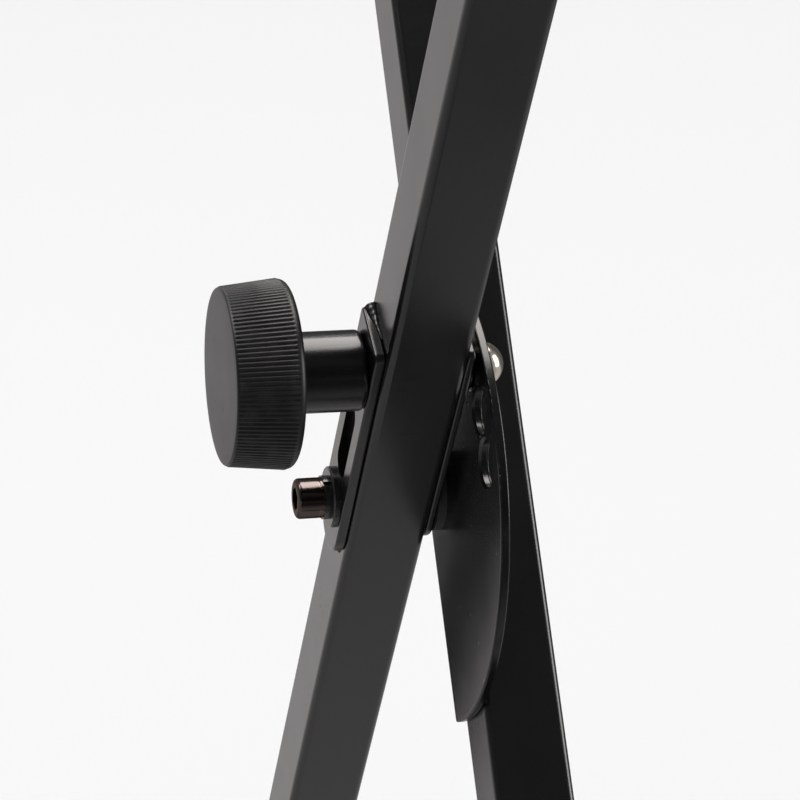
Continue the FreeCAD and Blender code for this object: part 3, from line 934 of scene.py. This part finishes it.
def addFloor(look):
    half, bend = look["size"] / 2, look["bend"]
    outline = [(half, 0.0), (bend - half, 0.0)]
    for rise, fall in quarterRound(1, look["bendSteps"]):
        outline.append((bend - half - bend * rise, bend - bend * fall))
    outline.append((-half, look["height"]))
    vertices = [(x, y, z) for x, z in outline for y in (-half, half)]
    faces = [(2 * row, 2 * row + 1, 2 * row + 3, 2 * row + 2) for row in range(len(outline) - 1)]
    mesh = bpy.data.meshes.new("paleFloor")
    mesh.from_pydata(vertices, [], faces)
    for polygon in mesh.polygons:
        polygon.use_smooth = True
    mesh.materials.append(makeFloorFinish(look))
    floor = bpy.data.objects.new("paleFloor", mesh)
    bpy.context.scene.collection.objects.link(floor)


addFloor(floorLook)
print("floor laid")


# sky, even light for the floor and a dim studio for what glossy finishes reflect

skyLook = {
    "seen": 0.945,               # by the camera
    "fill": 0.985,
    # as glossy finishes see it
    "back": 0.30,                # behind the stand
    "backRight": 0.08,           # behind it, away from the knob
    "high": 0.13,                # in front of it
    "low": 0.015,
    "farSide": 0.35,             # added in front, away from the knob
    "knobSide": 0.1,             # added all round, towards the knob
    # where each turns into the next, as parts of a direction along X, Y or Z
    "backToFront": (-0.6, 0.3),
    "backToRight": (0.3, 0.6),
    "lowToHigh": (0.2, 0.85),
    "toFarSide": (0.5, 0.85),
    "toKnobSide": (-0.4, -0.85),
}


def addSky(look):
    world = bpy.data.worlds.new("studio")
    bpy.context.scene.world = world
    world.use_nodes = True
    tree = world.node_tree
    way = splitPlace(tree, addNode(tree, "ShaderNodeTexCoord").outputs["Generated"])
    front = rangeNode(tree, way["Z"], look["lowToHigh"], look["low"], look["high"])
    farSide = rangeNode(tree, way["Y"], look["toFarSide"], 0.0, look["farSide"])
    front = mathNode(tree, "ADD", front, farSide)
    back = rangeNode(tree, way["Y"], look["backToRight"], look["back"], look["backRight"])
    gloss = rangeNode(tree, way["X"], look["backToFront"], back, front)
    knobSide = rangeNode(tree, way["Y"], look["toKnobSide"], 0.0, look["knobSide"])
    gloss = mathNode(tree, "ADD", gloss, knobSide)
    rays = addNode(tree, "ShaderNodeLightPath")
    strength = look["fill"]
    for label, level in (("Is Glossy Ray", gloss), ("Is Camera Ray", look["seen"])):
        mix = addNode(tree, "ShaderNodeMix", data_type="FLOAT")
        tree.links.new(rays.outputs[label], mix.inputs["Factor"])
        feed(tree, mix.inputs[2], strength)      # the mix node's own number sockets
        feed(tree, mix.inputs[3], level)
        strength = mix.outputs[0]
    background = tree.nodes["Background"]
    background.inputs["Color"].default_value = (1.0, 1.0, 1.0, 1.0)
    tree.links.new(strength, background.inputs["Strength"])


addSky(skyLook)
print("sky set")


# softboxes, placed from the pivot and aimed at it

softboxes = {
    "overheadSoftbox": {"place": (-0.5, 0.6, 2.28), "size": (1.6, 1.5), "power": 60.0,
                        "color": (1.0, 0.955, 0.925), "lightsFloor": False},
    "knobSideSoftbox": {"place": (-0.2, -1.2, 2.1), "size": (1.0, 0.8), "power": 22.0,
                        "color": (1.0, 0.97, 0.95), "lightsFloor": False},
    "rightSoftbox": {"place": (0.5, 2.45, 0.65), "size": (0.9, 1.8), "power": 36.0,
                     "color": (1.0, 0.98, 0.96), "lightsFloor": False},
    "keySoftbox": {"place": (-0.8, -1.8, 2.4), "size": (1.6, 1.6), "power": 6.0,
                   "color": (1.0, 1.0, 1.0), "lightsFloor": True},
}


def addSoftbox(name, box):
    data = bpy.data.lights.new(name, "AREA")
    data.shape = "RECTANGLE"
    data.size, data.size_y = box["size"]
    data.energy = box["power"]
    data.color = box["color"]
    lamp = bpy.data.objects.new(name, data)
    bpy.context.scene.collection.objects.link(lamp)
    spot = pivot + Vector(box["place"])
    aim = (pivot - spot).to_track_quat("-Z", "Y").to_matrix().to_4x4()
    lamp.matrix_world = Matrix.Translation(spot) @ aim
    lamp.visible_diffuse = box["lightsFloor"]


for boxName, box in softboxes.items():
    addSoftbox(boxName, box)
bpy.context.scene.view_settings.view_transform = "Standard"
print("softboxes hung,", len(softboxes))
